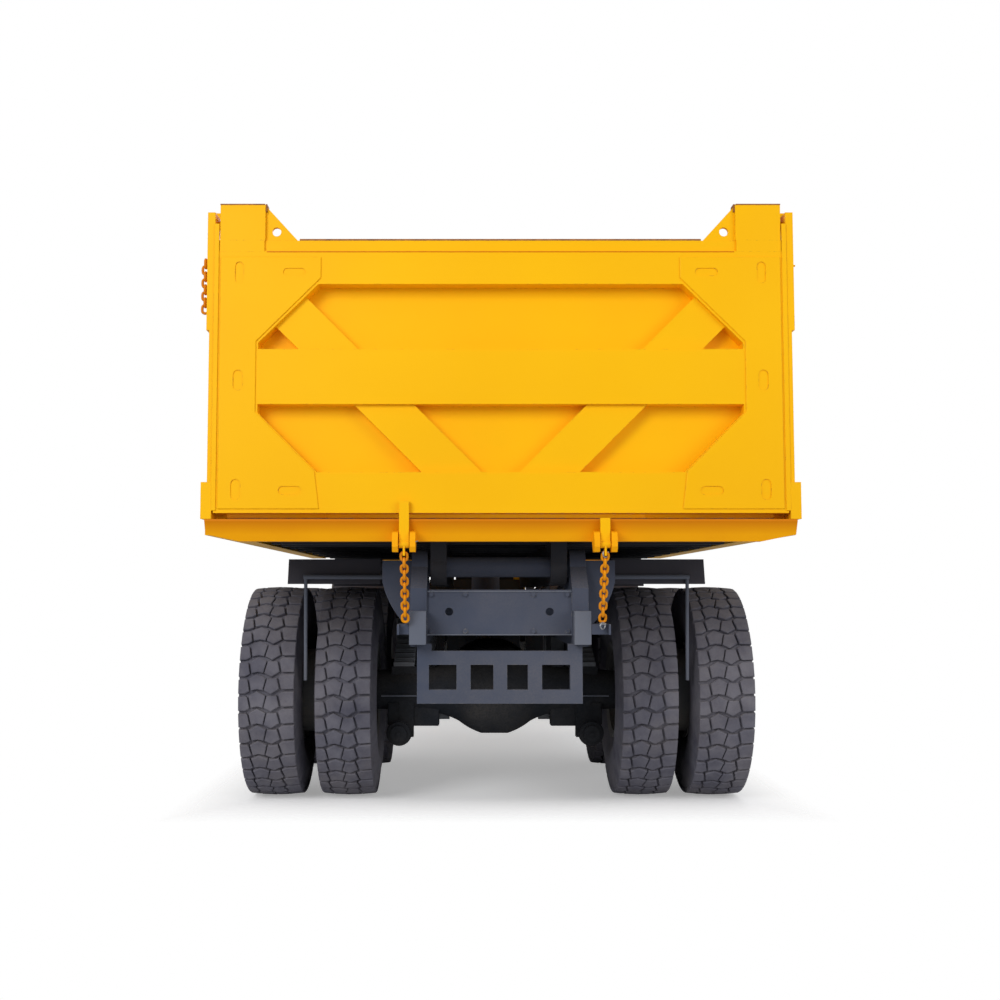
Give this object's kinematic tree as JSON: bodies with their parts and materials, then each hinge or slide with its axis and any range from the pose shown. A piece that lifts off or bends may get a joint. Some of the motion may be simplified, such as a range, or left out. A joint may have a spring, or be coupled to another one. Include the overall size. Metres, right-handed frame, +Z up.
{
  "type": "mining dump truck",
  "caption": "Wide-body mining dump truck with a tipping bed, front telescopic hoist, top-hung tailgate with chained hooks, twin-tyred drive axles and an offset cab.",
  "frame": {"origin": "on the ground under the middle of the truck's length and width", "axes": "+Y forward along the truck, +X to its right, +Z up"},
  "size_m": [3.63, 9.3, 3.96],
  "materials": {
    "bed_paint": "satin",
    "cab_paint": "semi-gloss",
    "chain_paint": "worn satin",
    "chassis_paint": "satin",
    "axle_iron": "rough, painted grey",
    "hoist_paint": "satin",
    "hoist_rod": "polished",
    "tyre_rubber": "matt, dusty",
    "rim_paint": "satin",
    "engine_iron": "rough",
    "tank_paint": "satin",
    "glass": "clear",
    "lamp_glass": "clear",
    "dark_plastic": "grained",
    "grille_paint": "satin"
  },
  "bodies": {
    "chassis": {"chassis_rails": "chassis_paint", "cross_frame": "chassis_paint", "chassis_tail": "chassis_paint", "underrun_guard": "chassis_paint", "drive_axles": "axle_iron", "rear_suspension": "axle_iron", "torque_rods": "axle_iron", "engine_block": "engine_iron", "drive_line": "axle_iron", "front_axle": "axle_iron", "mudguards": "chassis_paint", "front_mudguards": "chassis_paint", "fuel_tank": "tank_paint", "air_tanks": "tank_paint", "front_bumper": "cab_paint", "headlamps": "lamp_glass", "radiator_housing": "cab_paint", "radiator_grille": "grille_paint", "deck": "cab_paint", "ladder": "cab_paint", "cab_shell": "cab_paint", "cab_glass": "glass", "cab_interior": "dark_plastic", "mirrors": "dark_plastic", "air_cleaner": "chassis_paint"},
    "bed": {"bed_floor": "bed_paint", "bed_subframe": "chassis_paint", "bed_tail_beam": "bed_paint", "bed_sides": "bed_paint", "bed_front_wall": "bed_paint", "side_chain": "chain_paint"},
    "tailgate": {"tailgate": "bed_paint"},
    "left_hook": {"left_tailgate_hook": "bed_paint"},
    "right_hook": {"right_tailgate_hook": "bed_paint"},
    "left_chain": {"left_tailgate_chain": "chain_paint"},
    "right_chain": {"right_tailgate_chain": "chain_paint"},
    "hoist_barrel": {"hoist_barrel": "hoist_paint"},
    "hoist_stage_1": {"hoist_stage_1": "hoist_rod"},
    "hoist_stage_2": {"hoist_stage_2": "hoist_rod"},
    "hoist_stage_3": {"hoist_stage_3": "hoist_rod"},
    "left_knuckle": {"left_knuckle": "axle_iron"},
    "right_knuckle": {"right_knuckle": "axle_iron"},
    "tie_rod": {"tie_rod": "axle_iron"},
    "front_left_wheel": {"front_left_tyre": "tyre_rubber", "front_left_rim": "rim_paint"},
    "front_right_wheel": {"front_right_tyre": "tyre_rubber", "front_right_rim": "rim_paint"},
    "cab_door": {"cab_door": "cab_paint", "door_glass": "glass"},
    "middle_left_wheels": {"middle_left_tyres": "tyre_rubber", "middle_left_rims": "rim_paint"},
    "middle_right_wheels": {"middle_right_tyres": "tyre_rubber", "middle_right_rims": "rim_paint"},
    "rear_left_wheels": {"rear_left_tyres": "tyre_rubber", "rear_left_rims": "rim_paint"},
    "rear_right_wheels": {"rear_right_tyres": "tyre_rubber", "rear_right_rims": "rim_paint"}
  },
  "joints": [
    {"name": "bed_tip", "type": "hinge", "parent": "chassis", "child": "bed", "pos_m": [0, -3.95, 1.615], "axis": [1, 0, 0], "range_deg": [0, 45]},
    {"name": "hoist_tilt", "type": "hinge", "parent": "chassis", "child": "hoist_barrel", "pos_m": [0, 1.55, 1.3], "axis": [1, 0, 0], "range_deg": [0, 27.5]},
    {"name": "hoist_stage_1_slide", "type": "slide", "parent": "hoist_barrel", "child": "hoist_stage_1", "axis": [0, 0, 1], "range_m": [0, 1.362]},
    {"name": "hoist_stage_2_slide", "type": "slide", "parent": "hoist_stage_1", "child": "hoist_stage_2", "axis": [0, 0, 1], "range_m": [0, 1.362]},
    {"name": "hoist_stage_3_slide", "type": "slide", "parent": "hoist_stage_2", "child": "hoist_stage_3", "axis": [0, 0, 1], "range_m": [0, 1.362]},
    {"name": "tailgate_swing", "type": "hinge", "parent": "bed", "child": "tailgate", "pos_m": [0, -4.4, 3.7], "axis": [-1, 0, 0], "range_deg": [0, 60]},
    {"name": "left_hook_swing", "type": "hinge", "parent": "bed", "child": "left_hook", "pos_m": [-0.57, -4.603, 1.735], "axis": [1, 0, 0], "range_deg": [0, 60.5]},
    {"name": "left_chain_swing", "type": "hinge", "parent": "left_hook", "child": "left_chain", "pos_m": [-0.57, -4.603, 1.688], "axis": [1, 0, 0], "range_deg": [-130.5, 0]},
    {"name": "right_hook_swing", "type": "hinge", "parent": "bed", "child": "right_hook", "pos_m": [0.612, -4.603, 1.735], "axis": [1, 0, 0], "range_deg": [0, 60.5]},
    {"name": "right_chain_swing", "type": "hinge", "parent": "right_hook", "child": "right_chain", "pos_m": [0.612, -4.603, 1.688], "axis": [1, 0, 0], "range_deg": [-130.5, 0]},
    {"name": "left_steer", "type": "hinge", "parent": "chassis", "child": "left_knuckle", "pos_m": [-1.03, 2.77, 0.745], "axis": [0, 0, 1], "range_deg": [-35, 35]},
    {"name": "right_steer", "type": "hinge", "parent": "chassis", "child": "right_knuckle", "pos_m": [1.03, 2.77, 0.745], "axis": [0, 0, 1], "range_deg": [-35, 35]},
    {"name": "tie_rod_swing", "type": "hinge", "parent": "left_knuckle", "child": "tie_rod", "pos_m": [-1.03, 2.47, 0.536], "axis": [0, 0, 1], "range_deg": [-35, 35]},
    {"name": "front_left_spin", "type": "hinge", "parent": "left_knuckle", "child": "front_left_wheel", "pos_m": [-1.33, 2.77, 0.7465], "axis": [1, 0, 0], "continuous": true},
    {"name": "front_right_spin", "type": "hinge", "parent": "right_knuckle", "child": "front_right_wheel", "pos_m": [1.33, 2.77, 0.7465], "axis": [1, 0, 0], "continuous": true},
    {"name": "middle_left_spin", "type": "hinge", "parent": "chassis", "child": "middle_left_wheels", "pos_m": [-1.295, -1.13, 0.7465], "axis": [1, 0, 0], "continuous": true},
    {"name": "middle_right_spin", "type": "hinge", "parent": "chassis", "child": "middle_right_wheels", "pos_m": [1.295, -1.13, 0.7465], "axis": [1, 0, 0], "continuous": true},
    {"name": "rear_left_spin", "type": "hinge", "parent": "chassis", "child": "rear_left_wheels", "pos_m": [-1.295, -2.73, 0.7465], "axis": [1, 0, 0], "continuous": true},
    {"name": "rear_right_spin", "type": "hinge", "parent": "chassis", "child": "rear_right_wheels", "pos_m": [1.295, -2.73, 0.7465], "axis": [1, 0, 0], "continuous": true},
    {"name": "cab_door_swing", "type": "hinge", "parent": "chassis", "child": "cab_door", "pos_m": [-1.688, 3.758, 2.5], "axis": [0, 0, -1], "range_deg": [0, 70]}
  ],
  "couplings": [
    {"joint": "hoist_tilt", "follows": "bed_tip", "ratio": 0.605},
    {"joint": "hoist_stage_1_slide", "follows": "bed_tip", "m_per_rad": 1.733},
    {"joint": "hoist_stage_2_slide", "follows": "bed_tip", "m_per_rad": 1.733},
    {"joint": "hoist_stage_3_slide", "follows": "bed_tip", "m_per_rad": 1.733},
    {"joint": "left_hook_swing", "follows": "bed_tip", "ratio": 1.3333},
    {"joint": "left_chain_swing", "follows": "bed_tip", "ratio": -2.882},
    {"joint": "right_hook_swing", "follows": "bed_tip", "ratio": 1.3333},
    {"joint": "right_chain_swing", "follows": "bed_tip", "ratio": -2.882},
    {"joint": "right_steer", "follows": "left_steer", "ratio": 1},
    {"joint": "tie_rod_swing", "follows": "left_steer", "ratio": -1}
  ]
}
